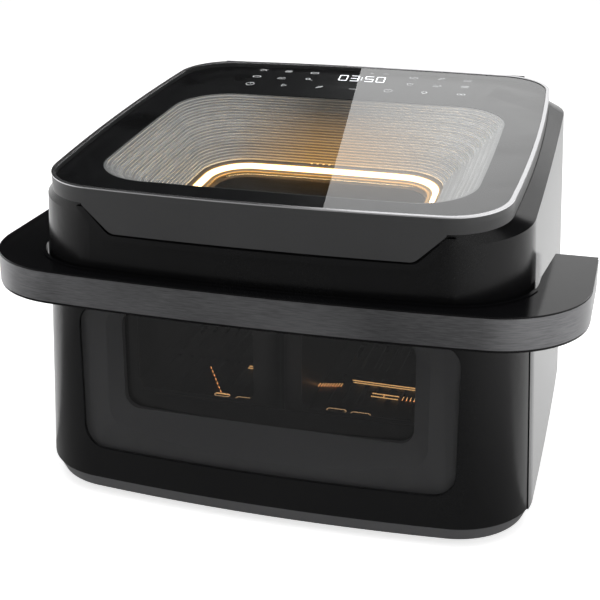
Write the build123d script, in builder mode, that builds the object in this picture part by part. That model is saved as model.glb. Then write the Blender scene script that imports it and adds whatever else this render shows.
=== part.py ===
from build123d import *
import math
import os

os.makedirs("parts", exist_ok=True)

# Sizes in millimetres, the floor is z = 0, the front of the object looks along -Y
# Body shell
body_half = 204.0          # half width at the foot of the side walls
side_lean = 0.0465         # the sides draw in this much for each mm of height
body_front = 180.6         # face of the upper body, ahead of the centre
body_back = 191.0
body_corner_front = 65.0
body_corner_back = 48.0
body_bow = 13.0            # bow of the front face at the corners
side_bow = 2.0
body_wall = 3.0
shoulder_depth = 23.0      # where the side turns into the shoulder, below the lid plane
shoulder_half = 193.0
seat_depth = 13.6          # top edge of the body, below the lid plane
seat_gap = 0.5             # the seat is this much wider than the lid
seat_recess = 2.0
seat_flange = 2.5
seat_lip = 4.0

# Base
foot_height = 6.0
foot_radius = 13.0
foot_x = 158.0
foot_front = 132.0
foot_back = 150.0
foot_stud_radius = 4.0
base_top = 17.6
base_draw = 5.0            # how far the foot of the base is drawn in
base_wall = 3.0
base_floor = 3.0
fit_gap = 0.3

# Lid, measured on its own tilted plane
lid_height = 281.9
lid_tilt = 4.88
lid_half = 182.6
lid_front = 185.7
lid_back = 185.5
lid_corner = 48.0
lid_bow = 8.0
lid_side_bow = 7.3
rim_width = 3.0
glass_drop = 0.6
glass_thick = 4.0
mask_thick = 0.6
plate_thick = 2.0
skirt_wall = 3.0
skirt_depth = 13.0
tongue_low = 231.0         # lower edge of the grip under the front of the lid
tongue_half = 115.0
tongue_shoulder = 252.0
tongue_shoulder_half = 137.0
tongue_corner = 9.0
tongue_gap = 1.5
apron_width = 4.5
apron_proud = 2.6

# Viewing funnel in the lid
window_half = 150.0
window_front = 150.0
window_back = 89.0
window_corner = 47.0
window_bow = 2.0
ring_half = 107.0
ring_front = 104.0
ring_back = 29.0
ring_corner = 40.0
ring_depth = 47.0
funnel_steps = 24
funnel_wall = 2.0
light_run = 11.0           # how far the light band runs inward
light_drop = 6.5
light_thick = 3.0
pane_thick = 3.5
shield_gap = 8.0
shield_wall = 1.2
throat_gap = 8.0
throat_wall = 1.2
throat_widen = 6.0

# Display
display_x = 5.0
display_y = 131.0
display_width = 60.0
display_length = 16.0
board_width = 300.0
board_length = 56.0
board_thick = 1.6

# Hinge
hinge_y = 190.5            # on the lid plane
hinge_depth = 7.0
knuckle_radius = 4.2
pin_radius = 2.0
pin_play = 0.05
lug_inner = 113.0
lug_width = 15.4
bracket_width = 21.0
bracket_gap = 0.6
bracket_plate = 3.6
bracket_drop = 42.0

# Handle
handle_front = 194.6
handle_half = 235.0
handle_flare = 1.7         # the arms stand this much wider at their ends
handle_bow = 12.5
handle_corner = 75.0
handle_end = 42.0          # the arms end this far ahead of the centre
handle_low = 173.4
handle_top = 200.0
handle_base = 3.0
handle_wall = 3.0
deck_gap = 1.5
arm_start = 127.0
arm_inner = 203.8
band_thick = 1.6
band_proud = 0.4
band_low = 1.9             # black edge that shows under the band
band_high = 1.2            # black edge that shows over the band
bead_width = 3.0
bead_height = 0.8

# Drawer front
bay_edge = 124.5           # the body walls start this far ahead of the centre
bay_gap = 1.2
bay_roof = 177.0
shell_front = 177.5
shell_low = 18.2
shell_wall = 3.0
shell_floor = 2.2
pane_half = 150.0
pane_low = 45.0
pane_top = 168.0
pane_corner = 18.0
pane_set = 0.8
front_pane = 3.0
bezel_depth = 10.6
bezel_rim = 12.0
bezel_wall = 4.0
inner_half = 116.4
inner_low = 80.6
inner_top = 164.0
inner_corner = 12.0
inner_pane = 3.0
inner_lap = 5.0
slab_depth = 50.0          # deep enough to pass the flat panel behind the window
panel_front = 134.0        # face of the flat panel behind the window
panel_thick = 1.5
panel_half = 183.0
panel_low = 24.0
panel_top = 172.0
seal_thick = 4.0
seal_width = 6.0

# Cavity
frame_thick = 1.5
frame_half = 187.0
frame_sill = 6.0
sill_gap = 1.0
cavity_half = 177.0
cavity_low = 22.0
cavity_roof = 196.0
cavity_back = 118.0
sheet = 1.5
roof_lip = 178.0

# Pan, baskets and crisper plates
pan_half = 164.0
pan_top = 74.0
pan_back = 110.0
pan_corner = 12.0
pan_wall = 1.5
basket_middle = 2.0        # half the space between the two baskets
basket_play = 2.0
basket_front = 130.0
basket_back = 105.0
basket_top = 160.0
basket_wall = 1.2
basket_corner = 14.0
crisper_height = 13.0
crisper_thick = 1.5
crisper_play = 2.0
slot_width = 5.0
slot_length = 60.0

# Drawer slides
rail_low = 44.0
rail_height = 20.0
rail_thick = 1.5
rail_front = 110.0
rail_back = 112.0
rail_reach = 8.0
runner_back = 108.0

# Heaters and fans
heater_radius = 3.25
heater_height = 186.0
fan_x = 85.0
fan_z = 112.0
fan_radius = 50.0
fan_front = 124.0
fan_depth = 12.0
fan_disc = 1.5
fan_blades = 10
hub_radius = 9.0
shaft_radius = 3.0
shaft_play = 0.05
fan_box_back = 142.0
fan_box_half = 168.0
fan_box_low = 46.0
fan_box_top = 176.0
motor_radius = 28.0
motor_length = 32.0

# Rear
vent_half = 76.0
vent_low = 150.0
vent_top = 236.0
vent_thick = 4.0
vent_bars = 9
gland_x = 138.0
gland_z = 44.0
gland_bore = 4.0
gland_radius = 7.0
gland_flange = 11.0
power_half = 70.0
power_front = 150.0
power_back = 184.0
power_height = 24.0


# Outlines and planes that several pieces share
def bend(start, middle, end):
    sag = abs(start[0] - middle[0]) if start[0] == end[0] else abs(start[1] - middle[1])
    if sag < 1e-6:
        Line(start, end)
    else:
        ThreePointArc(start, middle, end)


def outline(half, front, back, corner_front, corner_back, bow_front, bow_side, bow_back, grow=0.0):
    side = half + grow
    ahead = -front - grow
    behind = back + grow
    turn = side - bow_side
    middle = (ahead + behind) / 2
    with BuildSketch(Plane.XY, mode=Mode.PRIVATE) as shape:
        with BuildLine():
            bend((-turn, ahead + bow_front), (0, ahead), (turn, ahead + bow_front))
            bend((turn, ahead + bow_front), (side, middle), (turn, behind - bow_back))
            bend((turn, behind - bow_back), (0, behind), (-turn, behind - bow_back))
            bend((-turn, behind - bow_back), (-side, middle), (-turn, ahead + bow_front))
        make_face()
        fillet(shape.vertices().group_by(Axis.Y)[0], max(corner_front + grow, 1.0))
        fillet(shape.vertices().group_by(Axis.Y)[-1], max(corner_back + grow, 1.0))
    return shape.sketch


def mix(first, second, share):
    return [a + (b - a) * share for a, b in zip(first, second)]


def half_at(z):
    return body_half - side_lean * (z - base_top)


def body_at(z, grow=0.0):
    return outline(half_at(z), body_front, body_back, body_corner_front, body_corner_back,
                   body_bow, side_bow, 0.0, grow)


def shell_at(z, grow=0.0):
    return outline(half_at(z), shell_front, body_back, body_corner_front, body_corner_back,
                   body_bow, side_bow, 0.0, grow)


tilt = math.radians(lid_tilt)


def lid_plane(depth):
    return Plane(origin=(0, depth * math.sin(tilt), lid_height - depth * math.cos(tilt)),
                 x_dir=(1, 0, 0), z_dir=(0, -math.sin(tilt), math.cos(tilt)))


def on_lid(y, depth):
    return (y - depth * math.sin(tilt)) / math.cos(tilt)


def layer(shape, top, bottom, mode=Mode.ADD):
    with BuildSketch(lid_plane(bottom)) as level:
        add(shape)
    extrude(level.sketch, amount=bottom - top, mode=mode)


def flat(shape, low, high, mode=Mode.ADD):
    with BuildSketch(Plane.XY.offset(low)) as level:
        add(shape)
    extrude(level.sketch, amount=high - low, mode=mode)


def block(x0, x1, y0, y1, z0, z1, mode=Mode.ADD):
    with BuildSketch(Plane.XY.offset(z0)) as level:
        with Locations(((x0 + x1) / 2, (y0 + y1) / 2)):
            Rectangle(x1 - x0, y1 - y0)
    extrude(level.sketch, amount=z1 - z0, mode=mode)


def leaning(section, grow, low, high, mode=Mode.ADD):
    with BuildSketch(Plane.XY.offset(low)) as low_end:
        add(section(low, grow))
    with BuildSketch(Plane.XY.offset(high)) as high_end:
        add(section(high, grow))
    loft([low_end.sketch, high_end.sketch], ruled=True, mode=mode)


def tube_between(lower, lower_grow, low_plane, upper, upper_grow, high_plane, mode=Mode.ADD):
    with BuildSketch(low_plane) as low_end:
        add(outline(*lower, grow=lower_grow))
    with BuildSketch(high_plane) as high_end:
        add(outline(*upper, grow=upper_grow))
    loft([low_end.sketch, high_end.sketch], ruled=True, mode=mode)


# Outlines of the lid, the funnel window and the light band
lid_shape = (lid_half, lid_front, lid_back, lid_corner, lid_corner, lid_bow, lid_side_bow, lid_bow)
window_shape = (window_half, window_front, window_back, window_corner, window_corner,
                window_bow, window_bow, window_bow)
ring_shape = (ring_half, ring_front, ring_back, ring_corner, ring_corner,
              window_bow, window_bow, window_bow)
light_low = (ring_half - light_run, ring_front - light_run, ring_back - light_run,
             ring_corner - light_run, ring_corner - light_run, window_bow, window_bow, window_bow)
shoulder_shape = (shoulder_half, -on_lid(-body_front, shoulder_depth), on_lid(body_back, shoulder_depth),
                  body_corner_front, body_corner_back, body_bow, side_bow, 0.0)
seat_shape = (lid_half + seat_gap, -on_lid(-body_front - seat_gap, seat_depth), lid_back + seat_gap,
              lid_corner, lid_corner, body_bow, lid_side_bow, lid_bow)
mask_top = glass_drop + glass_thick
plate_top = mask_top + mask_thick
plate_low = plate_top + plate_thick
light_bottom = ring_depth + light_drop
pane_top_depth = light_bottom + 1.0
pane_low_depth = pane_top_depth + pane_thick
pan_share = (skirt_depth - plate_top) / (ring_depth - plate_top)
shield_top = mix(window_shape, ring_shape, pan_share)
recess_depth = seat_depth + seat_recess
flange_low = recess_depth + seat_flange
shield_out = shield_gap + shield_wall
throat_top = shield_out + throat_gap
throat_low = throat_top + throat_widen
hinge_line_y = hinge_y * math.cos(tilt) + hinge_depth * math.sin(tilt)
hinge_line_z = lid_height + hinge_y * math.sin(tilt) - hinge_depth * math.cos(tilt)
cavity_front = panel_front - panel_thick - seal_thick
pan_low = cavity_low + frame_sill + sill_gap
print("hinge line at y", round(hinge_line_y, 3), "z", round(hinge_line_z, 3))

# Front profile of the grip tongue
def tongue_profile(grow):
    reach = lid_height
    with BuildSketch(Plane.XY, mode=Mode.PRIVATE) as shape:
        with BuildLine():
            Polyline(
                (-tongue_half - grow, tongue_low - grow),
                (tongue_half + grow, tongue_low - grow),
                (tongue_shoulder_half + grow, tongue_shoulder - grow / 2),
                (tongue_shoulder_half + grow, reach),
                (-tongue_shoulder_half - grow, reach),
                (-tongue_shoulder_half - grow, tongue_shoulder - grow / 2),
                close=True,
            )
        make_face()
        fillet(shape.vertices().group_by(Axis.Y)[0], tongue_corner + grow)
    return shape.sketch


# Rounded window in the front, drawn on the XZ plane
def window_profile(half, low, top, corner, grow=0.0):
    with BuildSketch(Plane.XY, mode=Mode.PRIVATE) as shape:
        with Locations((0, (low + top) / 2)):
            RectangleRounded(2 * (half + grow), top - low + 2 * grow, corner + grow)
    return shape.sketch


def cut_front(shape, near, far, mode=Mode.SUBTRACT):
    with BuildSketch(Plane.XZ.offset(near)) as face:
        add(shape)
    extrude(face.sketch, amount=far - near, mode=mode)


# Slab that follows the bowed drawer front, from one depth behind its face to another
def bowed_slab(front_depth, back_depth):
    with BuildPart(Plane.XY, mode=Mode.PRIVATE) as slab:
        leaning(shell_at, -front_depth, shell_low, handle_low)
        leaning(shell_at, -back_depth, shell_low, handle_low, Mode.SUBTRACT)
        block(-body_half, body_half, -bay_edge, body_back + 1, 0, bay_roof, Mode.SUBTRACT)
    return slab.part


# Rubber feet
foot_spots = [(-foot_x, -foot_front), (foot_x, -foot_front), (-foot_x, foot_back), (foot_x, foot_back)]
with BuildPart() as rubber_feet:
    with BuildSketch():
        with Locations(foot_spots):
            Circle(foot_radius)
    extrude(amount=foot_height)
    with BuildSketch(Plane.XY.offset(foot_height)):
        with Locations(foot_spots):
            Circle(foot_stud_radius)
    extrude(amount=base_floor - fit_gap)
rubber_feet.part.label = "rubber_feet"
export_step(rubber_feet.part, "parts/rubber_feet.step")

# Base tray: a drawn in grey tray under body and drawer, with posts for the cavity and the board
cavity_posts = [(-150, -100), (150, -100), (-150, 96), (150, 96)]
board_posts = [(sx * (power_half - 6), y) for sx in (-1, 1) for y in (power_front + 5, power_back - 5)]
with BuildPart() as base_tray:
    with BuildSketch(Plane.XY.offset(foot_height)):
        add(shell_at(base_top, -1.0 - base_draw))
    with BuildSketch(Plane.XY.offset(base_top)):
        add(shell_at(base_top, -1.0))
    loft(ruled=True)
    with BuildSketch(Plane.XY.offset(foot_height + base_floor)):
        add(shell_at(base_top, -1.0 - base_draw - base_wall))
    with BuildSketch(Plane.XY.offset(base_top)):
        add(shell_at(base_top, -1.0 - base_wall))
    loft(ruled=True, mode=Mode.SUBTRACT)
    with BuildSketch(Plane.XY.offset(foot_height + base_floor)):
        with Locations(cavity_posts):
            Circle(8)
    extrude(amount=cavity_low - foot_height - base_floor)
    with BuildSketch(Plane.XY.offset(foot_height + base_floor)):
        with Locations(board_posts):
            Circle(4)
    extrude(amount=power_height - foot_height - base_floor)
    with BuildSketch(Plane.XY.offset(foot_height)):
        with Locations(foot_spots):
            Circle(foot_stud_radius + fit_gap)
    extrude(amount=base_floor, mode=Mode.SUBTRACT)
    with BuildSketch(Plane.XY.offset(foot_height)):
        with Locations((0, 30)):
            with GridLocations(16, 0, 9, 1):
                SlotOverall(90, 6, rotation=90)
    extrude(amount=base_floor, mode=Mode.SUBTRACT)
base_tray.part.label = "base_tray"
export_step(base_tray.part, "parts/base_tray.step")

# Form of the space behind the grip tongue
with BuildPart() as tongue_space:
    layer(outline(*lid_shape, grow=20), 0, 50)
    layer(outline(*lid_shape, grow=-skirt_wall - 1.0), 0, 50, Mode.SUBTRACT)
    cut_front(tongue_profile(tongue_gap), 100, 240, Mode.INTERSECT)
# Form of the raised strip round the tongue
with BuildPart() as apron_form:
    flat(body_at(tongue_low, apron_proud), tongue_low - 20, lid_height)
    flat(body_at(tongue_low, -1.0), tongue_low - 20, lid_height, Mode.SUBTRACT)
    cut_front(tongue_profile(tongue_gap + apron_width), 100, 240, Mode.INTERSECT)
    cut_front(tongue_profile(tongue_gap), 100, 240)
    block(-body_half, body_half, -300, body_back, tongue_shoulder - 2, lid_height + 20, Mode.SUBTRACT)

# Main housing: upper body all round, rear body below, open at the foot and for the drawer
with BuildPart() as main_housing:
    with BuildSketch(Plane.XY.offset(base_top)):
        add(body_at(base_top))
    with BuildSketch(lid_plane(shoulder_depth)):
        add(outline(*shoulder_shape))
    loft(ruled=True)
    tube_between(shoulder_shape, 0, lid_plane(shoulder_depth), seat_shape, 0, lid_plane(seat_depth))
    with BuildSketch(Plane.XY.offset(base_top)):
        add(body_at(base_top, -body_wall))
    with BuildSketch(lid_plane(shoulder_depth)):
        add(outline(*shoulder_shape, grow=-body_wall))
    loft(ruled=True, mode=Mode.SUBTRACT)
    tube_between(shoulder_shape, -body_wall, lid_plane(shoulder_depth), seat_shape, 0,
                 lid_plane(flange_low), Mode.SUBTRACT)
    layer(outline(*seat_shape, grow=-seat_lip), seat_depth, recess_depth, Mode.SUBTRACT)
    layer(outline(*shield_top, grow=throat_top), seat_depth, flange_low, Mode.SUBTRACT)
    block(-body_half - 1, body_half + 1, -300, -bay_edge, 0, bay_roof, Mode.SUBTRACT)
    add(apron_form.part)
    add(tongue_space.part, mode=Mode.SUBTRACT)
    with BuildSketch(Plane.XZ.offset(-body_back - 1)):
        with Locations((0, (vent_low + vent_top) / 2)):
            Rectangle(2 * vent_half - 12, vent_top - vent_low - 12)
    extrude(amount=body_wall + 2, mode=Mode.SUBTRACT)
    with BuildSketch(Plane.XZ.offset(-body_back - 1)):
        with Locations((gland_x, gland_z)):
            Circle(gland_radius + fit_gap)
    extrude(amount=body_wall + 2, mode=Mode.SUBTRACT)
main_housing.part.label = "main_housing"
export_step(main_housing.part, "parts/main_housing.step")

# Throat: steel funnel from the seat flange down to the cavity roof
with BuildPart() as chamber_throat:
    tube_between(light_low, throat_low + throat_wall, Plane.XY.offset(cavity_roof + sheet),
                 shield_top, throat_top + throat_wall, lid_plane(flange_low))
    layer(outline(*shield_top, grow=throat_top + 8), flange_low, flange_low + throat_wall)
    tube_between(light_low, throat_low, Plane.XY.offset(cavity_roof + sheet),
                 shield_top, throat_top, lid_plane(flange_low), Mode.SUBTRACT)
chamber_throat.part.label = "chamber_throat"
export_step(chamber_throat.part, "parts/chamber_throat.step")

# Cavity liner: floor, sides and back, with air slots in front of each fan
with BuildPart() as cavity_liner:
    block(-cavity_half - sheet, cavity_half + sheet, -cavity_front + frame_thick,
          cavity_back + sheet, cavity_low, cavity_roof)
    block(-cavity_half, cavity_half, -panel_front, cavity_back, cavity_low + sheet, cavity_roof, Mode.SUBTRACT)
    with BuildSketch(Plane.XZ.offset(-cavity_back - sheet)):
        with Locations((-fan_x, fan_z), (fan_x, fan_z)):
            with GridLocations(12, 0, 7, 1):
                SlotOverall(68, slot_width, rotation=90)
    extrude(amount=sheet, mode=Mode.SUBTRACT)
    with BuildSketch(Plane.XZ.offset(-cavity_back - sheet)):
        with Locations(*[(sx * x, heater_height) for sx in (-1, 1) for x in (14, 142)]):
            Circle(heater_radius + fit_gap)
    extrude(amount=sheet, mode=Mode.SUBTRACT)
cavity_liner.part.label = "cavity_liner"
export_step(cavity_liner.part, "parts/cavity_liner.step")

# Cavity roof with the round cornered opening and a lip down to the front frame
with BuildPart() as cavity_top:
    block(-frame_half, frame_half, -cavity_front, cavity_back + sheet, cavity_roof, cavity_roof + sheet)
    block(-frame_half, frame_half, -cavity_front, -cavity_front + frame_thick, roof_lip, cavity_roof)
    flat(outline(*light_low, grow=throat_low), cavity_roof, cavity_roof + sheet, Mode.SUBTRACT)
cavity_top.part.label = "cavity_top"
export_step(cavity_top.part, "parts/cavity_top.step")

# Front frame of the cavity, which the drawer seal presses on
with BuildPart() as cavity_frame:
    block(-frame_half, frame_half, -cavity_front, -cavity_front + frame_thick, cavity_low, roof_lip)
    block(-cavity_half + 0.2, cavity_half - 0.2, -cavity_front, -cavity_front + frame_thick,
          cavity_low + frame_sill, panel_top - seal_width - 1, Mode.SUBTRACT)
cavity_frame.part.label = "cavity_frame"
export_step(cavity_frame.part, "parts/cavity_frame.step")

# Drawer rails on the cavity sides, one channel each side
for side, sx in (("left", -1), ("right", 1)):
    outer = cavity_half
    inner = cavity_half - rail_reach
    with BuildPart() as rail:
        block(min(sx * outer, sx * inner), max(sx * outer, sx * inner), -rail_front, rail_back,
              rail_low, rail_low + rail_height)
        block(min(sx * (outer - rail_thick), sx * inner), max(sx * (outer - rail_thick), sx * inner),
              -rail_front, rail_back, rail_low + rail_thick, rail_low + rail_height - rail_thick, Mode.SUBTRACT)
    rail.part.label = "rail_" + side
    export_step(rail.part, "parts/rail_" + side + ".step")

# Heating tubes, one hairpin loop round each half of the opening
for side, sx in (("left", -1), ("right", 1)):
    route = [(14, 126), (14, 58), (124, 58), (124, -98), (18, -98), (18, -112), (142, -112), (142, 126)]
    with BuildPart() as heater:
        with BuildLine() as path:
            FilletPolyline(*[(sx * x, y, heater_height) for x, y in route], radius=6.5)
        with BuildSketch(Plane(origin=path.line @ 0, z_dir=path.line % 0)):
            Circle(heater_radius)
        sweep(path=path.line)
    heater.part.label = "heater_" + side
    export_step(heater.part, "parts/heater_" + side + ".step")

# Ceramic blocks that hold the ends of the heating tubes behind the cavity
with BuildPart() as heater_terminals:
    for sx in (-1, 1):
        for x in (14, 142):
            block(sx * x - 7, sx * x + 7, cavity_back + sheet, cavity_back + sheet + 6,
                  heater_height - 7, heater_height + 7)
    with BuildSketch(Plane.XZ.offset(-cavity_back - sheet - 6)):
        with Locations(*[(sx * x, heater_height) for sx in (-1, 1) for x in (14, 142)]):
            Circle(heater_radius + fit_gap)
    extrude(amount=6, mode=Mode.SUBTRACT)
heater_terminals.part.label = "heater_terminals"
export_step(heater_terminals.part, "parts/heater_terminals.step")

# Fan box behind the cavity
with BuildPart() as fan_box:
    block(-fan_box_half, fan_box_half, cavity_back + sheet, fan_box_back, fan_box_low, fan_box_top)
    block(-fan_box_half + sheet, fan_box_half - sheet, cavity_back + sheet, fan_box_back - sheet,
          fan_box_low + sheet, fan_box_top - sheet, Mode.SUBTRACT)
    with BuildSketch(Plane.XZ.offset(-fan_box_back)):
        with Locations((-fan_x, fan_z), (fan_x, fan_z)):
            Circle(hub_radius)
    extrude(amount=sheet, mode=Mode.SUBTRACT)
fan_box.part.label = "fan_box"
export_step(fan_box.part, "parts/fan_box.step")

# Fans and their motors
fan_disc_face = fan_front + fan_depth
shaft_end = fan_box_back + motor_length - 6
for side, sx in (("left", -1), ("right", 1)):
    spot = (sx * fan_x, fan_z)
    with BuildPart() as fan:
        with BuildSketch(Plane.XZ.offset(-fan_disc_face - fan_disc)):
            with Locations(spot):
                Circle(fan_radius)
        extrude(amount=fan_disc)
        with BuildSketch(Plane.XZ.offset(-fan_disc_face)):
            with Locations(spot):
                Circle(hub_radius)
                with PolarLocations((fan_radius + hub_radius) / 2 - 1, fan_blades):
                    Rectangle(fan_radius - hub_radius, 1.8)
        extrude(amount=fan_depth)
        with BuildSketch(Plane.XZ.offset(-fan_disc_face - fan_disc)):
            with Locations(spot):
                Circle(shaft_radius)
        extrude(amount=fan_depth + fan_disc, mode=Mode.SUBTRACT)
    fan.part.label = "fan_" + side
    export_step(fan.part, "parts/fan_" + side + ".step")

    with BuildPart() as shaft:
        with BuildSketch(Plane.XZ.offset(-shaft_end)):
            with Locations(spot):
                Circle(shaft_radius)
        extrude(amount=shaft_end - fan_front)
    shaft.part.label = "fan_shaft_" + side
    export_step(shaft.part, "parts/fan_shaft_" + side + ".step")

    with BuildPart() as motor:
        with BuildSketch(Plane.XZ.offset(-fan_box_back - motor_length)):
            with Locations(spot):
                Circle(motor_radius)
        extrude(amount=motor_length)
        with BuildSketch(Plane.XZ.offset(-fan_box_back)):
            with Locations(spot):
                RectangleRounded(2 * motor_radius + 16, 18, 5)
        extrude(amount=-2)
        with BuildSketch(Plane.XZ.offset(-fan_box_back - motor_length + 4)):
            with Locations(spot):
                Circle(shaft_radius + shaft_play)
        extrude(amount=motor_length, mode=Mode.SUBTRACT)
    motor.part.label = "fan_motor_" + side
    export_step(motor.part, "parts/fan_motor_" + side + ".step")

# Power board with its tall components
with BuildPart() as power_board:
    block(-power_half, power_half, power_front, power_back, power_height, power_height + board_thick)
    block(-power_half + 12, -power_half + 44, power_front + 5, power_back - 5,
          power_height + board_thick, power_height + 22)
    block(10, 34, power_front + 4, power_front + 20, power_height + board_thick, power_height + 16)
    block(power_half - 26, power_half - 12, power_front + 4, power_back - 8,
          power_height + board_thick, power_height + 19)
power_board.part.label = "power_board"
export_step(power_board.part, "parts/power_board.step")

# Rear vent with louvre slots, which also keeps the back off a wall
with BuildPart() as rear_vent:
    block(-vent_half, vent_half, body_back, body_back + vent_thick, vent_low, vent_top)
    with BuildSketch(Plane.XZ.offset(-body_back - vent_thick)):
        with Locations((0, (vent_low + vent_top) / 2)):
            with GridLocations(vent_half - 6, 8, 2, vent_bars):
                SlotOverall(vent_half - 14, 4)
    extrude(amount=vent_thick, mode=Mode.SUBTRACT)
rear_vent.part.label = "rear_vent"
export_step(rear_vent.part, "parts/rear_vent.step")

# Cord gland in the back wall, without a cord
with BuildPart() as cord_gland:
    with BuildSketch(Plane.XZ.offset(-body_back - vent_thick)):
        with Locations((gland_x, gland_z)):
            Circle(gland_flange)
    extrude(amount=vent_thick)
    with BuildSketch(Plane.XZ.offset(-body_back)):
        with Locations((gland_x, gland_z)):
            Circle(gland_radius)
    extrude(amount=body_wall)
    with BuildSketch(Plane.XZ.offset(-body_back + body_wall)):
        with Locations((gland_x, gland_z)):
            RegularPolygon(gland_flange, 6)
    extrude(amount=4)
    with BuildSketch(Plane.XZ.offset(-body_back - vent_thick)):
        with Locations((gland_x, gland_z)):
            Circle(gland_bore)
    extrude(amount=vent_thick + body_wall + 4, mode=Mode.SUBTRACT)
cord_gland.part.label = "cord_gland"
export_step(cord_gland.part, "parts/cord_gland.step")

# Hinge brackets on the back wall and their pins
lug_outer = lug_inner + lug_width
bracket_inner = lug_outer + bracket_gap
bracket_outer = bracket_inner + bracket_width
for side, sx in (("left", -1), ("right", 1)):
    x0 = min(sx * bracket_inner, sx * bracket_outer)
    with BuildPart() as bracket:
        block(x0, x0 + bracket_width, body_back, body_back + bracket_plate,
              hinge_line_z - bracket_drop, hinge_line_z)
        with BuildSketch(Plane.YZ.offset(x0)):
            with Locations((hinge_line_y, hinge_line_z)):
                Circle(knuckle_radius)
        extrude(amount=bracket_width)
        with BuildSketch(Plane.YZ.offset(x0)):
            with Locations((hinge_line_y, hinge_line_z)):
                Circle(pin_radius)
        extrude(amount=bracket_width, mode=Mode.SUBTRACT)
    bracket.part.label = "hinge_bracket_" + side
    export_step(bracket.part, "parts/hinge_bracket_" + side + ".step")

    p0 = min(sx * lug_inner, sx * bracket_outer)
    with BuildPart() as pin:
        with BuildSketch(Plane.YZ.offset(p0)):
            with Locations((hinge_line_y, hinge_line_z)):
                Circle(pin_radius)
        extrude(amount=bracket_outer - lug_inner)
    pin.part.label = "hinge_pin_" + side
    export_step(pin.part, "parts/hinge_pin_" + side + ".step")

# Lid rim trim
with BuildPart() as lid_rim:
    layer(outline(*lid_shape), 0, plate_top)
    layer(outline(*lid_shape, grow=-rim_width), 0, plate_top, Mode.SUBTRACT)
lid_rim.part.label = "lid_rim"
export_step(lid_rim.part, "parts/lid_rim.step")

# Lid frame: skirt, plate under the glass, grip tongue and hinge lugs
with BuildPart() as tongue_form:
    layer(outline(*lid_shape), plate_top, 50)
    layer(outline(*lid_shape, grow=-skirt_wall), plate_low, 50, Mode.SUBTRACT)
    cut_front(tongue_profile(0), 100, 240, Mode.INTERSECT)
display_cut = (display_x, display_y)
with BuildPart() as lid_frame:
    layer(outline(*lid_shape), plate_top, skirt_depth)
    layer(outline(*lid_shape, grow=-skirt_wall), plate_low, skirt_depth, Mode.SUBTRACT)
    add(tongue_form.part)
    layer(outline(*window_shape, grow=funnel_wall + fit_gap), plate_top, plate_low, Mode.SUBTRACT)
    with BuildSketch(lid_plane(plate_low)):
        with Locations(display_cut):
            Rectangle(display_width + 2 * fit_gap, display_length + 2 * fit_gap)
    extrude(amount=plate_thick, mode=Mode.SUBTRACT)
    for sx in (-1, 1):
        x0 = min(sx * lug_inner, sx * lug_outer)
        with BuildSketch(Plane.YZ.offset(x0)):
            with Locations((hinge_line_y, hinge_line_z)):
                Circle(knuckle_radius)
        extrude(amount=lug_width)
        with BuildSketch(lid_plane(hinge_depth + 3.4)):
            with Locations((x0 + lug_width / 2, (hinge_y + lid_back - lid_bow) / 2)):
                Rectangle(lug_width, hinge_y - lid_back + lid_bow)
        extrude(amount=5.0)
        with BuildSketch(Plane.YZ.offset(x0)):
            with Locations((hinge_line_y, hinge_line_z)):
                Circle(pin_radius + pin_play)
        extrude(amount=lug_width, mode=Mode.SUBTRACT)
lid_frame.part.label = "lid_frame"
export_step(lid_frame.part, "parts/lid_frame.step")

# Top glass and the printed mask under it
with BuildPart() as top_glass:
    layer(outline(*lid_shape, grow=-rim_width - fit_gap), glass_drop, mask_top)
top_glass.part.label = "top_glass"
export_step(top_glass.part, "parts/top_glass.step")

with BuildPart() as panel_mask:
    layer(outline(*lid_shape, grow=-rim_width - fit_gap), mask_top, plate_top)
    layer(outline(*window_shape), mask_top, plate_top, Mode.SUBTRACT)
panel_mask.part.label = "panel_mask"
export_step(panel_mask.part, "parts/panel_mask.step")

# Ribbed reflector: a stack of narrowing steps
step_drop = (ring_depth - plate_top) / funnel_steps
with BuildPart() as reflector:
    for step in range(funnel_steps):
        share = step / funnel_steps
        wide = mix(window_shape, ring_shape, share)
        narrow = mix(window_shape, ring_shape, share + 1.0 / funnel_steps)
        top = plate_top + step * step_drop
        layer(outline(*wide, grow=funnel_wall), top, top + step_drop)
        layer(outline(*narrow), top, top + step_drop, Mode.SUBTRACT)
    layer(outline(*window_shape, grow=funnel_wall + 7), plate_low, plate_low + 1.2)
    layer(outline(*mix(window_shape, ring_shape, 0.1)), plate_low, plate_low + 1.2, Mode.SUBTRACT)
reflector.part.label = "reflector"
export_step(reflector.part, "parts/reflector.step")

# Light band under the reflector
with BuildPart() as light_ring:
    tube_between(light_low, light_thick, lid_plane(light_bottom), ring_shape, light_thick, lid_plane(ring_depth))
    tube_between(light_low, 0, lid_plane(light_bottom), ring_shape, 0, lid_plane(ring_depth), Mode.SUBTRACT)
light_ring.part.label = "light_ring"
export_step(light_ring.part, "parts/light_ring.step")

# Retainer that carries the light band and clamps the inner pane
with BuildPart() as pane_retainer:
    layer(outline(*light_low, grow=5.5), light_bottom, pane_top_depth)
    layer(outline(*light_low, grow=-2.0), light_bottom, pane_top_depth, Mode.SUBTRACT)
pane_retainer.part.label = "pane_retainer"
export_step(pane_retainer.part, "parts/pane_retainer.step")

# Inner pane over the cooking chamber
with BuildPart() as inner_pane_lid:
    layer(outline(*light_low, grow=5.5), pane_top_depth, pane_low_depth)
inner_pane_lid.part.label = "lid_inner_pane"
export_step(inner_pane_lid.part, "parts/lid_inner_pane.step")

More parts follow.
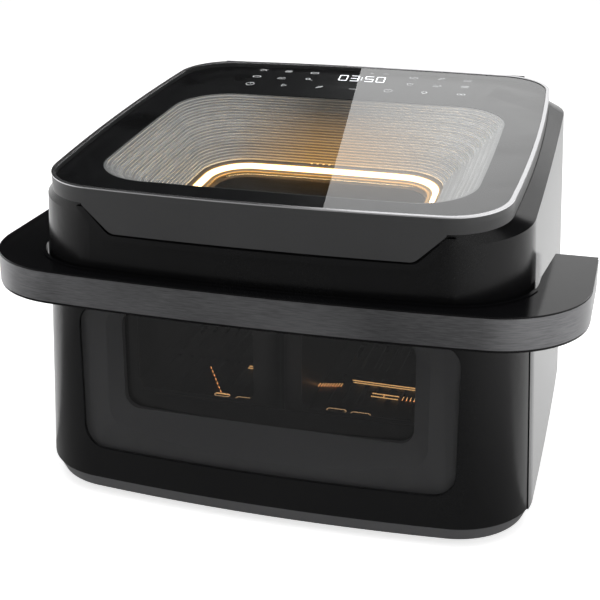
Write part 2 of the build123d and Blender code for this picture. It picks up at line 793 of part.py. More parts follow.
# Heat shield: underside of the lid, drawn down round the funnel to the inner pane
with BuildPart() as lid_shield:
    tube_between(light_low, shield_out, lid_plane(pane_low_depth + shield_wall), shield_top, shield_out,
                 lid_plane(skirt_depth))
    layer(outline(*lid_shape, grow=-skirt_wall - fit_gap), skirt_depth - shield_wall, skirt_depth)
    tube_between(light_low, shield_gap, lid_plane(pane_low_depth), shield_top, shield_gap,
                 lid_plane(skirt_depth), Mode.SUBTRACT)
    layer(outline(*shield_top, grow=shield_gap), skirt_depth - shield_wall, skirt_depth, Mode.SUBTRACT)
    layer(outline(*light_low, grow=-3.0), pane_low_depth, pane_low_depth + shield_wall, Mode.SUBTRACT)
lid_shield.part.label = "lid_shield"
export_step(lid_shield.part, "parts/lid_shield.step")

# Lid seal
with BuildPart() as lid_seal:
    layer(outline(*shield_top, grow=throat_top + 7), skirt_depth, recess_depth - fit_gap)
    layer(outline(*shield_top, grow=throat_top + 3), skirt_depth, recess_depth - fit_gap, Mode.SUBTRACT)
lid_seal.part.label = "lid_seal"
export_step(lid_seal.part, "parts/lid_seal.step")

# Touch board and display module
with BuildPart() as touch_board:
    with BuildSketch(lid_plane(plate_low + board_thick)):
        with Locations((0, display_y + 8)):
            Rectangle(board_width, board_length)
    extrude(amount=board_thick)
touch_board.part.label = "touch_board"
export_step(touch_board.part, "parts/touch_board.step")

with BuildPart() as display_module:
    with BuildSketch(lid_plane(plate_low)):
        with Locations(display_cut):
            Rectangle(display_width, display_length)
    extrude(amount=plate_thick)
display_module.part.label = "display_module"
export_step(display_module.part, "parts/display_module.step")


# Plan of the handle: outer edge, and the edge that runs round the foot of the body
def handle_plan(grow):
    with BuildSketch(Plane.XY, mode=Mode.PRIVATE) as shape:
        with BuildLine():
            bend((-handle_half - grow, -handle_front + handle_bow - grow), (0, -handle_front - grow),
                 (handle_half + grow, -handle_front + handle_bow - grow))
            Line((handle_half + grow, -handle_front + handle_bow - grow),
                 (handle_half + handle_flare + grow, -handle_end))
            Line((handle_half + handle_flare + grow, -handle_end), (-handle_half - handle_flare - grow, -handle_end))
            Line((-handle_half - handle_flare - grow, -handle_end),
                 (-handle_half - grow, -handle_front + handle_bow - grow))
        make_face()
        fillet(shape.vertices().group_by(Axis.Y)[0], handle_corner + grow)
    return shape.sketch


def deck_hole(grow):
    edge = half_at(handle_low) + deck_gap + grow
    with BuildSketch(Plane.XY, mode=Mode.PRIVATE) as shape:
        add(body_at(handle_low, deck_gap + grow))
        with BuildLine():
            Polyline((-edge + 2 * side_bow, -arm_start), (edge - 2 * side_bow, -arm_start),
                     (arm_inner + grow, -handle_end + 1), (-arm_inner - grow, -handle_end + 1), close=True)
        make_face()
    return shape.sketch


# Handle deck: black shell, open below
skin = band_thick - band_proud
with BuildPart() as handle_deck:
    flat(handle_plan(0), handle_low + handle_base, handle_top)
    flat(deck_hole(0), handle_low, handle_top, Mode.SUBTRACT)
    with BuildSketch(Plane.XY.offset(handle_low + handle_base)):
        add(handle_plan(-handle_wall))
        add(deck_hole(handle_wall), mode=Mode.SUBTRACT)
        with Locations((0, -handle_end)):
            Rectangle(2 * handle_half + 20, 2 * handle_wall, mode=Mode.SUBTRACT)
    extrude(amount=handle_top - handle_low - handle_base - handle_wall, mode=Mode.SUBTRACT)
    with BuildSketch(Plane.XY.offset(handle_low + handle_base)):
        add(handle_plan(1))
        add(handle_plan(-skin), mode=Mode.SUBTRACT)
        with Locations((0, -handle_end)):
            Rectangle(2 * handle_half + 20, 2 * handle_wall, mode=Mode.SUBTRACT)
    extrude(amount=handle_top - band_high - handle_low - handle_base, mode=Mode.SUBTRACT)
    with BuildSketch(Plane.XY.offset(handle_top)):
        add(deck_hole(bead_width))
        add(deck_hole(0), mode=Mode.SUBTRACT)
        with Locations((0, body_back / 2)):
            Rectangle(3 * handle_half, body_back + 2 * arm_start + 4, mode=Mode.SUBTRACT)
    extrude(amount=bead_height)
handle_deck.part.label = "handle_deck"
export_step(handle_deck.part, "parts/handle_deck.step")

# Handle base: closes the deck below and joins it to the drawer front
with BuildPart() as handle_base_plate:
    flat(handle_plan(0), handle_low, handle_low + handle_base)
    with BuildSketch(Plane.XY.offset(handle_low)):
        add(deck_hole(0))
        with Locations((0, -bay_edge - bay_gap - handle_half)):
            Rectangle(2 * handle_half, 2 * handle_half, mode=Mode.SUBTRACT)
    extrude(amount=handle_base, mode=Mode.SUBTRACT)
    block(-frame_half - 1, frame_half + 1, -panel_front, body_back, handle_low, handle_top, Mode.SUBTRACT)
    with BuildSketch(Plane.XY.offset(handle_low + band_low)):
        add(handle_plan(1))
        add(handle_plan(-skin), mode=Mode.SUBTRACT)
        with Locations((0, -handle_end)):
            Rectangle(2 * handle_half + 20, 2 * handle_wall, mode=Mode.SUBTRACT)
    extrude(amount=handle_base - band_low, mode=Mode.SUBTRACT)
handle_base_plate.part.label = "handle_base"
export_step(handle_base_plate.part, "parts/handle_base.step")

# Brushed steel band round the handle
with BuildPart() as handle_band:
    with BuildSketch(Plane.XY.offset(handle_low + band_low)):
        add(handle_plan(band_proud))
        add(handle_plan(-skin), mode=Mode.SUBTRACT)
        with Locations((0, -handle_end)):
            Rectangle(2 * handle_half + 20, 2 * handle_wall, mode=Mode.SUBTRACT)
    extrude(amount=handle_top - band_high - handle_low - band_low)
handle_band.part.label = "handle_band"
export_step(handle_band.part, "parts/handle_band.step")

# Drawer front shell, wrapped round both front corners
with BuildPart() as drawer_shell:
    with BuildSketch(Plane.XY.offset(shell_low)):
        add(shell_at(shell_low))
    with BuildSketch(Plane.XY.offset(handle_low)):
        add(shell_at(handle_low))
    loft(ruled=True)
    with BuildSketch(Plane.XY.offset(shell_low)):
        add(shell_at(shell_low, -shell_wall))
    with BuildSketch(Plane.XY.offset(handle_low)):
        add(shell_at(handle_low, -shell_wall))
    loft(ruled=True, mode=Mode.SUBTRACT)
    flat(shell_at(handle_low, 0), shell_low, shell_low + shell_floor)
    block(-shell_front, shell_front, -panel_front, body_back + 1, 0, handle_top, Mode.SUBTRACT)
    block(-body_half - 1, body_half + 1, -bay_edge - bay_gap, body_back + 1, 0, handle_top, Mode.SUBTRACT)
    block(-frame_half - 1, frame_half + 1, -panel_front, body_back, 0, shell_low + shell_floor, Mode.SUBTRACT)
    cut_front(window_profile(pane_half, pane_low, pane_top, pane_corner), 100, 240)
drawer_shell.part.label = "drawer_shell"
export_step(drawer_shell.part, "parts/drawer_shell.step")

# Outer window pane, tinted and bowed like the front
pane_back = pane_set + front_pane
with BuildPart() as window_glass:
    cut_front(window_profile(pane_half, pane_low, pane_top, pane_corner, -fit_gap), 120, 240, Mode.ADD)
    add(bowed_slab(pane_set, pane_back), mode=Mode.INTERSECT)
window_glass.part.label = "window_glass"
export_step(window_glass.part, "parts/window_glass.step")

# Slanted bezel behind the outer pane, with a pocket for the inner pane
inner_depth = pane_back + bezel_depth
with BuildPart() as bezel_opening:
    with BuildSketch(Plane.XZ.offset(shell_front - pane_set)):
        add(window_profile(pane_half, pane_low, pane_top, pane_corner, -1.5))
    with BuildSketch(Plane.XZ.offset(shell_front - inner_depth)):
        add(window_profile(inner_half, inner_low, inner_top, inner_corner))
    loft(ruled=True)
bezel_outer = window_profile(pane_half, pane_low, handle_low - bezel_rim / 2, pane_corner, bezel_rim / 2)
bezel_inside = window_profile(pane_half, pane_low, handle_low - bezel_rim / 2, pane_corner,
                              bezel_rim / 2 - bezel_wall)
with BuildPart() as bezel_duct:
    cut_front(bezel_outer, panel_front, 240, Mode.ADD)
    cut_front(bezel_inside, panel_front, 240)
    add(bowed_slab(pane_back, slab_depth), mode=Mode.INTERSECT)
with BuildPart() as inner_pocket:
    cut_front(window_profile(inner_half, inner_low, inner_top, inner_corner, inner_lap), 100, 240, Mode.ADD)
    add(bowed_slab(inner_depth, slab_depth), mode=Mode.INTERSECT)
with BuildPart() as window_frame:
    cut_front(bezel_outer, panel_front, 240, Mode.ADD)
    add(bowed_slab(pane_back, inner_depth + inner_pane), mode=Mode.INTERSECT)
    add(bezel_duct.part)
    add(bezel_opening.part, mode=Mode.SUBTRACT)
    cut_front(window_profile(inner_half, inner_low, inner_top, inner_corner), 100, 240)
    add(inner_pocket.part, mode=Mode.SUBTRACT)
window_frame.part.label = "window_frame"
export_step(window_frame.part, "parts/window_frame.step")

# Inner window pane in the pocket
with BuildPart() as window_inner_glass:
    cut_front(window_profile(inner_half, inner_low, inner_top, inner_corner, inner_lap - fit_gap),
              100, 240, Mode.ADD)
    add(bowed_slab(inner_depth, inner_depth + inner_pane), mode=Mode.INTERSECT)
window_inner_glass.part.label = "window_inner_glass"
export_step(window_inner_glass.part, "parts/window_inner_glass.step")

# Flat steel panel behind the window, which carries the pan
with BuildPart() as drawer_panel:
    block(-panel_half, panel_half, -panel_front, -panel_front + panel_thick, panel_low, panel_top)
    cut_front(window_profile(inner_half, inner_low, inner_top, inner_corner), 100, 240)
drawer_panel.part.label = "drawer_panel"
export_step(drawer_panel.part, "parts/drawer_panel.step")

# Silicone seal on the back of the panel
with BuildPart() as drawer_seal:
    block(-panel_half + 1, panel_half - 1, -panel_front + panel_thick,
          -panel_front + panel_thick + seal_thick - fit_gap, panel_low + 1, panel_top)
    block(-panel_half + 1 + seal_width, panel_half - 1 - seal_width, -panel_front, 0,
          pan_low - fit_gap, panel_top - seal_width, Mode.SUBTRACT)
drawer_seal.part.label = "drawer_seal"
export_step(drawer_seal.part, "parts/drawer_seal.step")

# Drip pan under both baskets
pan_front = panel_front - panel_thick
with BuildPart() as drawer_pan:
    with BuildSketch(Plane.XY.offset(pan_low)):
        with Locations((0, (pan_back - pan_front) / 2)):
            RectangleRounded(2 * pan_half, pan_back + pan_front, pan_corner)
    extrude(amount=pan_top - pan_low)
    with BuildSketch(Plane.XY.offset(pan_low + pan_wall)):
        with Locations((0, (pan_back - pan_front) / 2)):
            RectangleRounded(2 * pan_half - 2 * pan_wall, pan_back + pan_front - 2 * pan_wall, pan_corner - pan_wall)
    extrude(amount=pan_top - pan_low - pan_wall, mode=Mode.SUBTRACT)
drawer_pan.part.label = "drawer_pan"
export_step(drawer_pan.part, "parts/drawer_pan.step")

# Runners on the pan sides, which slide in the rails
for side, sx in (("left", -1), ("right", 1)):
    x0 = min(sx * pan_half, sx * (cavity_half - rail_thick - fit_gap))
    with BuildPart() as runner:
        block(x0, x0 + cavity_half - rail_thick - fit_gap - pan_half, -pan_front, runner_back,
              rail_low + rail_thick + fit_gap, rail_low + rail_height - rail_thick - fit_gap)
    runner.part.label = "runner_" + side
    export_step(runner.part, "parts/runner_" + side + ".step")

# Two baskets side by side, with slotted floors and a glass front each
basket_half = (pan_half - pan_wall - basket_play - basket_middle) / 2
basket_length = basket_front + basket_back
basket_floor = pan_low + pan_wall
basket_y = (basket_back - basket_front) / 2
sight_half = basket_half - basket_corner - 4
for side, sx in (("left", -1), ("right", 1)):
    middle = sx * (basket_middle + basket_half)
    with BuildPart() as basket:
        with BuildSketch(Plane.XY.offset(basket_floor)):
            with Locations((middle, basket_y)):
                RectangleRounded(2 * basket_half, basket_length, basket_corner)
        extrude(amount=basket_top - basket_floor)
        with BuildSketch(Plane.XY.offset(basket_floor + basket_wall)):
            with Locations((middle, basket_y)):
                RectangleRounded(2 * (basket_half - basket_wall), basket_length - 2 * basket_wall,
                                 basket_corner - basket_wall)
        extrude(amount=basket_top - basket_floor - basket_wall, mode=Mode.SUBTRACT)
        with BuildSketch(Plane.XY.offset(basket_floor)):
            with Locations((middle, basket_y)):
                with GridLocations(3 * slot_width, slot_length + 12, 8, 3):
                    SlotOverall(slot_length, slot_width, rotation=90)
        extrude(amount=basket_wall, mode=Mode.SUBTRACT)
        with BuildSketch(Plane.XZ.offset(basket_front)):
            with Locations((middle, (inner_low + basket_top) / 2 - 4)):
                RectangleRounded(2 * sight_half, basket_top - inner_low - 12, 8)
        extrude(amount=-basket_wall, mode=Mode.SUBTRACT)
    basket.part.label = "basket_" + side
    export_step(basket.part, "parts/basket_" + side + ".step")

    with BuildPart() as basket_glass:
        with BuildSketch(Plane.XZ.offset(basket_front - basket_wall)):
            with Locations((middle, (inner_low + basket_top) / 2 - 4)):
                RectangleRounded(2 * sight_half + 6, basket_top - inner_low - 6, 8)
        extrude(amount=-inner_pane)
    basket_glass.part.label = "basket_glass_" + side
    export_step(basket_glass.part, "parts/basket_glass_" + side + ".step")

    with BuildPart() as crisper:
        with BuildSketch(Plane.XY.offset(basket_floor + crisper_height)):
            with Locations((middle, basket_y)):
                RectangleRounded(2 * (basket_half - basket_wall - crisper_play),
                                 basket_length - 2 * basket_wall - 2 * crisper_play - 2 * inner_pane,
                                 basket_corner - basket_wall)
                with GridLocations(2.4 * slot_width, slot_length + 12, 11, 3):
                    SlotOverall(slot_length, slot_width, rotation=90, mode=Mode.SUBTRACT)
        extrude(amount=crisper_thick)
        with BuildSketch(Plane.XY.offset(basket_floor + basket_wall)):
            with Locations((middle, basket_y)):
                with GridLocations(2 * basket_half - 34, basket_length - 40, 2, 2):
                    Circle(4)
        extrude(amount=crisper_height - basket_wall)
    crisper.part.label = "crisper_" + side
    export_step(crisper.part, "parts/crisper_" + side + ".step")
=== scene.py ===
import bpy
import math
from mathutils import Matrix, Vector


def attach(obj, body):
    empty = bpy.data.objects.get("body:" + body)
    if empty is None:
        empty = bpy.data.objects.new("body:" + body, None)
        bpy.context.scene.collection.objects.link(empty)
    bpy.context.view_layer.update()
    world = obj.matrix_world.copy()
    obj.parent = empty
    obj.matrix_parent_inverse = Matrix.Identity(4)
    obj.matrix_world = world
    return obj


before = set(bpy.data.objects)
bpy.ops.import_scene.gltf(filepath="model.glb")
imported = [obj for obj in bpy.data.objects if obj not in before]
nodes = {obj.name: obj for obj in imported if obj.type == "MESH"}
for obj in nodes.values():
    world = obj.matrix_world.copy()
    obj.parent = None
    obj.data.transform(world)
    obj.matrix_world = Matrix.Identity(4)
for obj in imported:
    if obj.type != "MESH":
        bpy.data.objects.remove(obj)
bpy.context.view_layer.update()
scene = bpy.context.scene

# The tilted lid plane, in metres. Depths are measured down from it.
TILT = math.radians(4.88)
LID_Z = 0.2819
NORMAL = Vector((0, -math.sin(TILT), math.cos(TILT)))
ALONG = Vector((0, math.cos(TILT), math.sin(TILT)))
RIM_FACE = (0.0008, 0.0011)
REFLECTOR_DEPTH = (0.0052, 0.0470)
REFLECTOR_STEPS = 24.0
LIGHT_DEPTH = (0.0470, 0.0535)
MARK_DEPTH = 0.00054

WHITE = (1, 1, 1)


def on_lid(x, y, depth=0.0):
    return Vector((x, 0, LID_Z)) + ALONG * y - NORMAL * depth


# Node helpers. A value is a number, a colour or another node's output.
def new_mat(name):
    m = bpy.data.materials.new(name)
    m.use_nodes = True
    return m, m.node_tree, m.node_tree.nodes["Principled BSDF"]


def bare_mat(name):
    m = bpy.data.materials.new(name)
    m.use_nodes = True
    m.node_tree.nodes.clear()
    return m, m.node_tree, m.node_tree.nodes.new("ShaderNodeOutputMaterial")


def link(tree, source, socket):
    tree.links.new(source, socket)


def feed(tree, socket, value):
    if isinstance(value, bpy.types.NodeSocket):
        link(tree, value, socket)
    elif isinstance(value, (tuple, list)):
        socket.default_value = (*value, 1)
    else:
        socket.default_value = value


def math_node(tree, operation, *values):
    node = tree.nodes.new("ShaderNodeMath")
    node.operation = operation
    for socket, value in zip(node.inputs, values):
        feed(tree, socket, value)
    return node.outputs[0]


def mix_color(tree, factor, a, b, blend="MIX"):
    mix = tree.nodes.new("ShaderNodeMix")
    mix.data_type = "RGBA"
    mix.blend_type = blend
    feed(tree, mix.inputs["Factor"], factor)
    feed(tree, mix.inputs["A"], a)
    feed(tree, mix.inputs["B"], b)
    return mix.outputs["Result"]


def mix_shader(tree, factor, a, b):
    mix = tree.nodes.new("ShaderNodeMixShader")
    link(tree, factor, mix.inputs[0])
    link(tree, a, mix.inputs[1])
    link(tree, b, mix.inputs[2])
    return mix.outputs[0]


def color_ramp(tree, value, stops):
    node = tree.nodes.new("ShaderNodeValToRGB")
    elements = node.color_ramp.elements
    elements[0].color = (*stops[0][1], 1)
    elements[1].color = (*stops[-1][1], 1)
    for position, color in stops[1:-1]:
        elements.new(position).color = (*color, 1)
    link(tree, value, node.inputs["Fac"])
    return node.outputs["Color"]


def place(tree):
    return tree.nodes.new("ShaderNodeTexCoord").outputs["Object"]


def place_x(tree):
    split = tree.nodes.new("ShaderNodeSeparateXYZ")
    link(tree, place(tree), split.inputs[0])
    return split.outputs["X"]


def coords(tree, scale=(1, 1, 1)):
    mapping = tree.nodes.new("ShaderNodeMapping")
    mapping.inputs["Scale"].default_value = scale
    link(tree, place(tree), mapping.inputs["Vector"])
    return mapping.outputs["Vector"]


def noise(tree, vector, scale, detail):
    node = tree.nodes.new("ShaderNodeTexNoise")
    node.inputs["Scale"].default_value = scale
    node.inputs["Detail"].default_value = detail
    node.inputs["Roughness"].default_value = 0.6
    link(tree, vector, node.inputs["Vector"])
    return node.outputs["Fac"]


# The middle of a noise's range, where most of its values lie
NOISE_LOW, NOISE_HIGH = 0.3, 0.7


def remap(tree, value, low, high, start=NOISE_LOW, end=NOISE_HIGH):
    node = tree.nodes.new("ShaderNodeMapRange")
    node.inputs["From Min"].default_value = start
    node.inputs["From Max"].default_value = end
    node.inputs["To Min"].default_value = low
    node.inputs["To Max"].default_value = high
    link(tree, value, node.inputs["Value"])
    return node.outputs["Result"]


# 1 for the rays that see the background: camera, glossy and transmission
def background_rays(tree):
    path = tree.nodes.new("ShaderNodeLightPath").outputs
    seen = math_node(tree, "MAXIMUM", path["Is Camera Ray"], path["Is Glossy Ray"])
    return math_node(tree, "MAXIMUM", seen, path["Is Transmission Ray"])


# Moulded, painted or brushed surface: its tone mixes fine grain with broad patches
PATCH_SCALE = 9.0
FINE_SHARE, PATCH_SHARE = 0.55, 0.45


def surface(name, dark, light, rough, metallic=0.0, specular=0.5, grain=600.0, grain_bump=0.05,
            stretch=(1, 1, 1), bump_height=0.0004, flat=False):
    m, tree, bsdf = new_mat(name)
    bsdf.inputs["Metallic"].default_value = metallic
    bsdf.inputs["Specular IOR Level"].default_value = specular
    patch = noise(tree, coords(tree), PATCH_SCALE, 2.0)
    fine = noise(tree, coords(tree, stretch), grain, 5.0)
    patch_part = math_node(tree, "MULTIPLY", patch, PATCH_SHARE)
    tone = math_node(tree, "MULTIPLY_ADD", fine, FINE_SHARE, patch_part)
    link(tree, mix_color(tree, remap(tree, tone, 0.0, 1.0, 0.35, 0.65), dark, light),
         bsdf.inputs["Base Color"])
    link(tree, remap(tree, fine, *rough), bsdf.inputs["Roughness"])
    if grain_bump:
        bump = tree.nodes.new("ShaderNodeBump")
        bump.inputs["Strength"].default_value = grain_bump
        bump.inputs["Distance"].default_value = bump_height
        link(tree, fine, bump.inputs["Height"])
        link(tree, bump.outputs["Normal"], bsdf.inputs["Normal"])
    if flat:
        geo = tree.nodes.new("ShaderNodeNewGeometry")
        link(tree, geo.outputs["True Normal"], bsdf.inputs["Normal"])
    return m


# Thin pane: the face that is met first mirrors by its angle and tints what is behind
def glass(name, tint, ior):
    m, tree, bsdf = new_mat(name)
    bsdf.inputs["Metallic"].default_value = 1.0
    bsdf.inputs["Roughness"].default_value = 0.0
    bsdf.inputs["Base Color"].default_value = (*WHITE, 1)
    geo = tree.nodes.new("ShaderNodeNewGeometry").outputs
    link(tree, geo["True Normal"], bsdf.inputs["Normal"])
    smear = noise(tree, coords(tree), 14.0, 3.0)
    tinted = mix_color(tree, smear, tint, [min(1.0, c * 1.04) for c in tint])
    film = tree.nodes.new("ShaderNodeBsdfTransparent")
    link(tree, mix_color(tree, geo["Backfacing"], tinted, WHITE), film.inputs["Color"])
    fresnel = tree.nodes.new("ShaderNodeFresnel")
    fresnel.inputs["IOR"].default_value = ior
    link(tree, geo["True Normal"], fresnel.inputs["Normal"])
    front = math_node(tree, "SUBTRACT", 1.0, geo["Backfacing"])
    mirror = math_node(tree, "MULTIPLY", fresnel.outputs[0], front)
    link(tree, mix_shader(tree, mirror, film.outputs[0], bsdf.outputs[0]),
         tree.nodes["Material Output"].inputs["Surface"])
    return m


def glow(name, color, strength):
    m, tree, bsdf = new_mat(name)
    bsdf.inputs["Base Color"].default_value = (*color, 1)
    bsdf.inputs["Emission Color"].default_value = (*color, 1)
    bsdf.inputs["Emission Strength"].default_value = strength
    bsdf.inputs["Roughness"].default_value = 0.4
    return m


# Depth below the lid plane of the point being shaded, in metres
def lid_depth(tree):
    dot = tree.nodes.new("ShaderNodeVectorMath")
    dot.operation = "DOT_PRODUCT"
    dot.inputs[1].default_value = (0, -NORMAL.y, -NORMAL.z)
    link(tree, place(tree), dot.inputs[0])
    return math_node(tree, "ADD", dot.outputs["Value"], LID_Z * NORMAL.z)


# Plastics
gloss_black = surface("gloss_black", (0.0040, 0.0040, 0.0044), (0.0062, 0.0062, 0.0066),
                      (0.20, 0.26), specular=0.20, grain=900, grain_bump=0.02)
deck_black = surface("deck_black", (0.0030, 0.0030, 0.0034), (0.0050, 0.0050, 0.0055),
                     (0.08, 0.12), specular=0.16, grain=700, grain_bump=0.01)
satin_grey = surface("satin_grey", (0.050, 0.050, 0.051), (0.064, 0.064, 0.065),
                     (0.34, 0.42), specular=0.30, grain=1600, grain_bump=0.12)
base_grey = surface("base_grey", (0.085, 0.085, 0.088), (0.110, 0.110, 0.114),
                    (0.35, 0.45), specular=0.4, grain=1200, grain_bump=0.1)
bezel_grey = surface("bezel_grey", (0.030, 0.030, 0.031), (0.038, 0.038, 0.039),
                     (0.4, 0.5), specular=0.20, grain=1300, grain_bump=0.0, flat=True)
mask_black = surface("mask_black", (0.0025, 0.0025, 0.003), (0.004, 0.004, 0.0045),
                     (0.3, 0.36), specular=0.05, grain=500, grain_bump=0.0, flat=True)
rear_black = surface("rear_black", (0.012, 0.012, 0.012), (0.020, 0.020, 0.020),
                     (0.45, 0.6), grain=1500, grain_bump=0.15)
board_green = surface("board_green", (0.012, 0.06, 0.03), (0.02, 0.10, 0.05),
                      (0.35, 0.5), grain=260, grain_bump=0.1)

# Metals and coatings
gunmetal = surface("gunmetal_brushed", (0.085, 0.085, 0.088), (0.185, 0.185, 0.190),
                   (0.28, 0.40), metallic=1.0, grain=520, grain_bump=0.14,
                   stretch=(0.16, 0.16, 2.6), bump_height=0.0002)
sheet_steel = surface("sheet_steel", (0.26, 0.26, 0.27), (0.40, 0.40, 0.41),
                      (0.30, 0.42), metallic=1.0, grain=260, grain_bump=0.08, stretch=(0.15, 1, 1))
zinc = surface("zinc_steel", (0.42, 0.42, 0.43), (0.58, 0.58, 0.59),
               (0.28, 0.40), metallic=1.0, grain=300)
nonstick = surface("nonstick", (0.028, 0.028, 0.029), (0.044, 0.044, 0.045),
                   (0.30, 0.42), specular=0.4, grain=1800, grain_bump=0.15)
heater_dark = surface("heater_sheath", (0.045, 0.032, 0.028), (0.085, 0.062, 0.052),
                      (0.4, 0.6), metallic=0.8, grain=500, grain_bump=0.1)
aluminium = surface("cast_aluminium", (0.48, 0.48, 0.49), (0.62, 0.62, 0.63),
                    (0.32, 0.45), metallic=1.0, grain=900, grain_bump=0.1)
motor_paint = surface("motor_paint", (0.05, 0.05, 0.055), (0.08, 0.08, 0.085),
                      (0.4, 0.5), metallic=0.3, grain=900)
# Warm metal trim with a painted glow: its faint warm emission stands in for the light ring's light
# falling on it
warm_trim_painted_glow = surface("warm_trim_painted_glow", (0.30, 0.18, 0.06), (0.42, 0.26, 0.10),
                    (0.25, 0.35), metallic=1.0, grain=300, grain_bump=0.0)
painted_glow_inputs = warm_trim_painted_glow.node_tree.nodes["Principled BSDF"].inputs
painted_glow_inputs["Emission Color"].default_value = (0.9, 0.5, 0.16, 1)
painted_glow_inputs["Emission Strength"].default_value = 0.35

# Ceramic, rubber and glass
ceramic = surface("ceramic", (0.62, 0.58, 0.52), (0.74, 0.70, 0.64),
                  (0.5, 0.65), grain=700, grain_bump=0.1)
rubber = surface("rubber", (0.014, 0.014, 0.014), (0.024, 0.024, 0.024),
                 (0.6, 0.75), specular=0.3, grain=1200, grain_bump=0.2)
silicone = surface("silicone", (0.05, 0.05, 0.05), (0.075, 0.075, 0.075),
                   (0.45, 0.6), grain=900, grain_bump=0.1)
clear_glass = glass("clear_glass", (0.95, 0.96, 0.96), ior=1.62)
inner_glass = glass("inner_glass", (0.88, 0.89, 0.89), ior=1.3)
tinted_glass = glass("tinted_glass", (0.94, 0.94, 0.945), ior=1.34)
smoked_glass = glass("smoked_glass", (0.54, 0.53, 0.52), ior=1.3)


# Trim with a bright top face and painted sides
def rim_mat():
    m, tree, bsdf = new_mat("rim_silver")
    side = remap(tree, lid_depth(tree), 0.0, 1.0, *RIM_FACE)
    fine = noise(tree, coords(tree), 1500, 5.0)
    bright = mix_color(tree, fine, (0.52, 0.52, 0.53), (0.66, 0.66, 0.67))
    painted = mix_color(tree, fine, (0.040, 0.040, 0.041), (0.055, 0.055, 0.056))
    link(tree, mix_color(tree, side, bright, painted), bsdf.inputs["Base Color"])
    link(tree, remap(tree, side, 1.0, 0.1, 0.0, 1.0), bsdf.inputs["Metallic"])
    link(tree, remap(tree, side, 0.22, 0.38, 0.0, 1.0), bsdf.inputs["Roughness"])
    return m


# Satin metal of the stepped reflector, with painted light: a painted shade in each step's crease
# and over the middle, a faint painted grey glow all over, and a painted warm glow from the
# diffuser on the lower middle steps
def reflector_mat():
    m, tree, bsdf = new_mat("reflector_satin")
    bsdf.inputs["Metallic"].default_value = 0.12
    depth = lid_depth(tree)
    step = math_node(tree, "FRACT", remap(tree, depth, 0.0, REFLECTOR_STEPS, *REFLECTOR_DEPTH))
    # Painted shade: the lower part of each step is darkened, as a crease lying in shade
    crease_shade = color_ramp(tree, step, [(pos, (v, v, v)) for pos, v in (
        (0.0, 0.22), (0.18, 0.30), (0.34, 0.95), (0.80, 0.92), (1.0, 0.45))])
    smear = noise(tree, coords(tree), 22.0, 3.0)
    shade = mix_color(tree, smear, (0.92, 0.92, 0.92), (1.0, 1.0, 0.995))
    tone = mix_color(tree, 1.0, crease_shade, shade, "MULTIPLY")
    x = place_x(tree)
    middle = math_node(tree, "MULTIPLY", remap(tree, x, 0.0, 1.0, -0.095, -0.02),
                       remap(tree, x, 1.0, 0.0, 0.0, 0.105))
    low = math_node(tree, "MULTIPLY", middle, remap(tree, depth, 0.0, 1.0, 0.012, 0.047))
    # Painted shade: the middle of the reflector, across all its steps, is darkened
    painted_dimming = mix_color(tree, middle, WHITE, (0.36, 0.34, 0.31))
    # Painted glow: the lower middle steps glow warm, as if lit by the diffuser, and the rest glows
    # faintly grey
    painted_warm_glow = mix_color(tree, low, (0.03, 0.03, 0.03), (0.66, 0.33, 0.06))
    link(tree, mix_color(tree, 1.0, tone, painted_dimming, "MULTIPLY"), bsdf.inputs["Base Color"])
    link(tree, mix_color(tree, 1.0, painted_warm_glow, tone, "MULTIPLY"), bsdf.inputs["Emission Color"])
    bsdf.inputs["Emission Strength"].default_value = 1.0
    link(tree, remap(tree, smear, 0.40, 0.48), bsdf.inputs["Roughness"])
    return m


# Lit diffuser: a bright warm core between dimmer edges, set by depth
def light_mat():
    m, tree, bsdf = new_mat("light_diffuser")
    core = (1.0, 0.66, 0.30)
    edge = (0.12, 0.062, 0.017)
    stops = [(0.0, (0.0, 0.0, 0.0)), (0.24, (0.01, 0.005, 0.001)), (0.32, edge), (0.40, core),
             (0.72, core), (0.80, edge), (0.86, (0.01, 0.006, 0.002)), (1.0, (0.03, 0.017, 0.005))]
    share = remap(tree, lid_depth(tree), 0.0, 1.0, *LIGHT_DEPTH)
    link(tree, color_ramp(tree, share, stops), bsdf.inputs["Emission Color"])
    bsdf.inputs["Emission Strength"].default_value = 11.0
    bsdf.inputs["Base Color"].default_value = (0.03, 0.025, 0.02, 1)
    bsdf.inputs["Roughness"].default_value = 0.5
    return m


